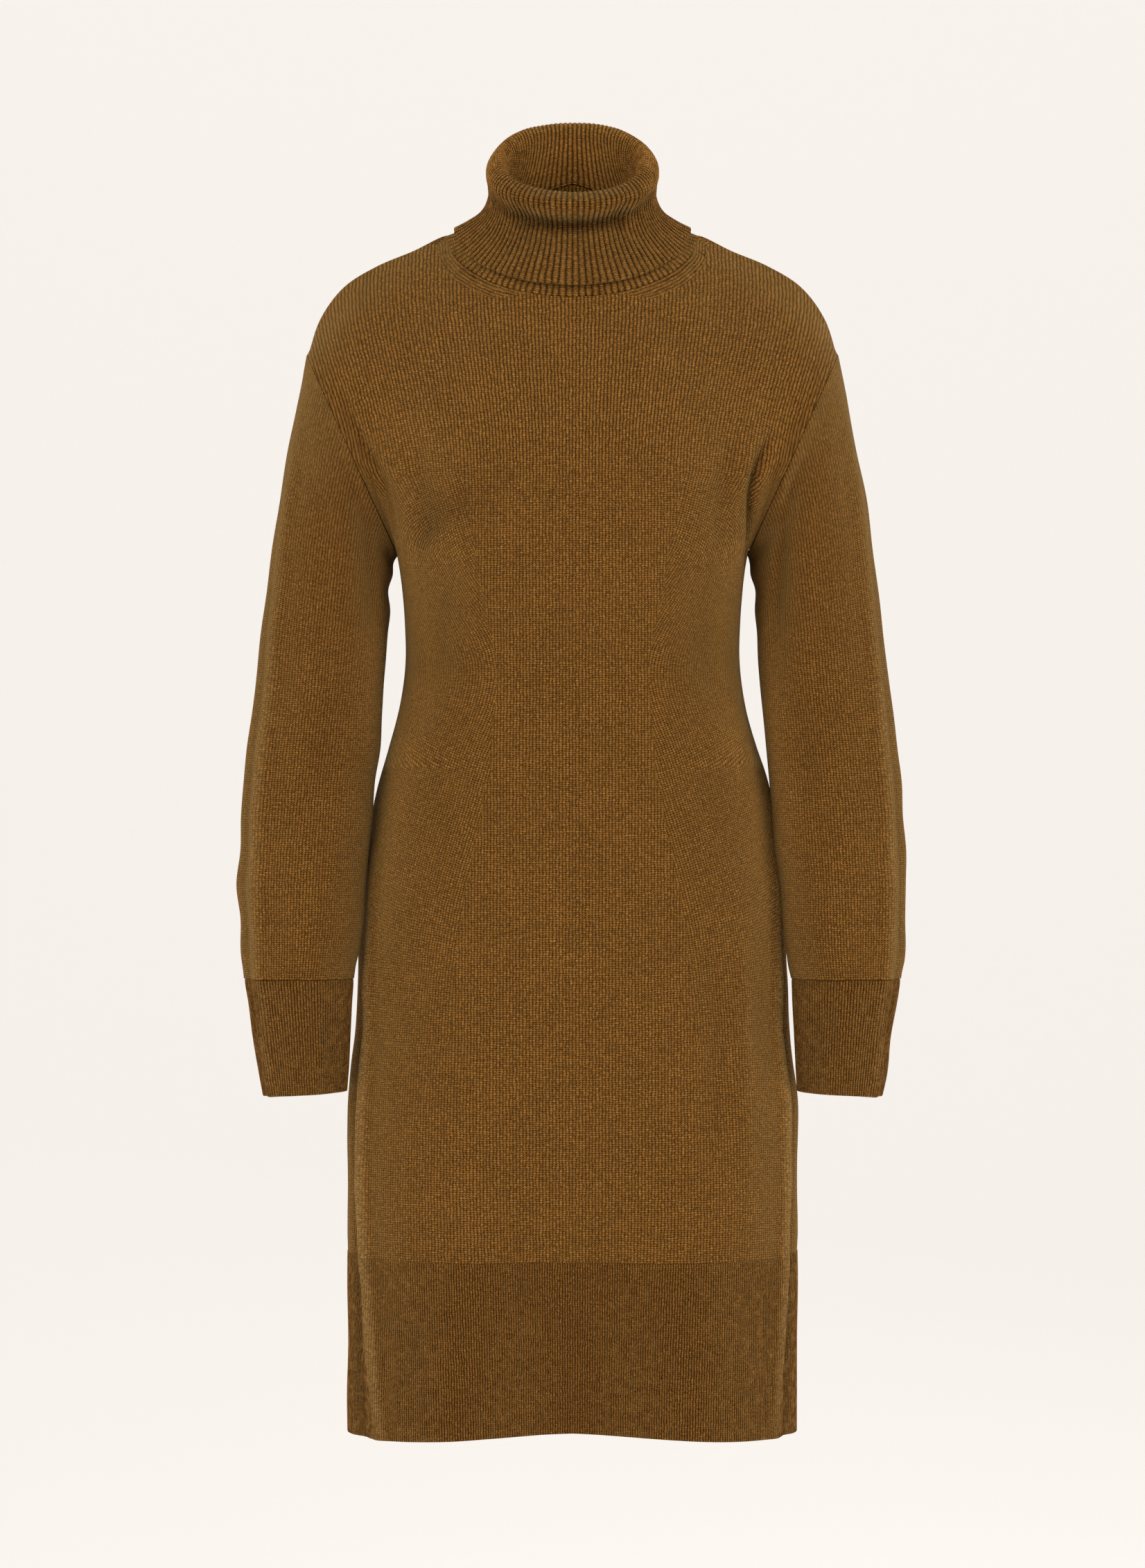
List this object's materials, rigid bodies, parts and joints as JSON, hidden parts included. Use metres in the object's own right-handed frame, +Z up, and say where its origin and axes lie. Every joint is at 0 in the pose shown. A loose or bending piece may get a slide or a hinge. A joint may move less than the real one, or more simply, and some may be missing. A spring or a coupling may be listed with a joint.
{
  "type": "sweater dress",
  "caption": "Knee-length knitted sweater dress filled out as worn, with a folded ribbed turtleneck, dropped long sleeves, ribbed cuffs and a deep ribbed hem, open at neck, hem and cuffs.",
  "frame": {"origin": "middle of the neck base, level with the points where the shoulders meet the neck, where the wearer's shoulders hold the dress up", "axes": "+Z up, -Y out of the front of the dress, +X towards the wearer's left"},
  "size_m": [0.4944, 0.2516, 0.9849],
  "materials": {
    "jersey": "soft brushed wool jersey with a fine stitch and a light nap",
    "hem_rib": "fine wool rib",
    "cuff_rib": "fine wool rib",
    "collar_rib": "wool rib with raised wales"
  },
  "bodies": {
    "root": {"front_panel": "jersey", "back_panel": "jersey", "front_hem_rib": "hem_rib", "back_hem_rib": "hem_rib", "left_sleeve": "jersey", "right_sleeve": "jersey", "left_cuff": "cuff_rib", "right_cuff": "cuff_rib", "turtleneck_collar": "collar_rib"}
  },
  "joints": []
}
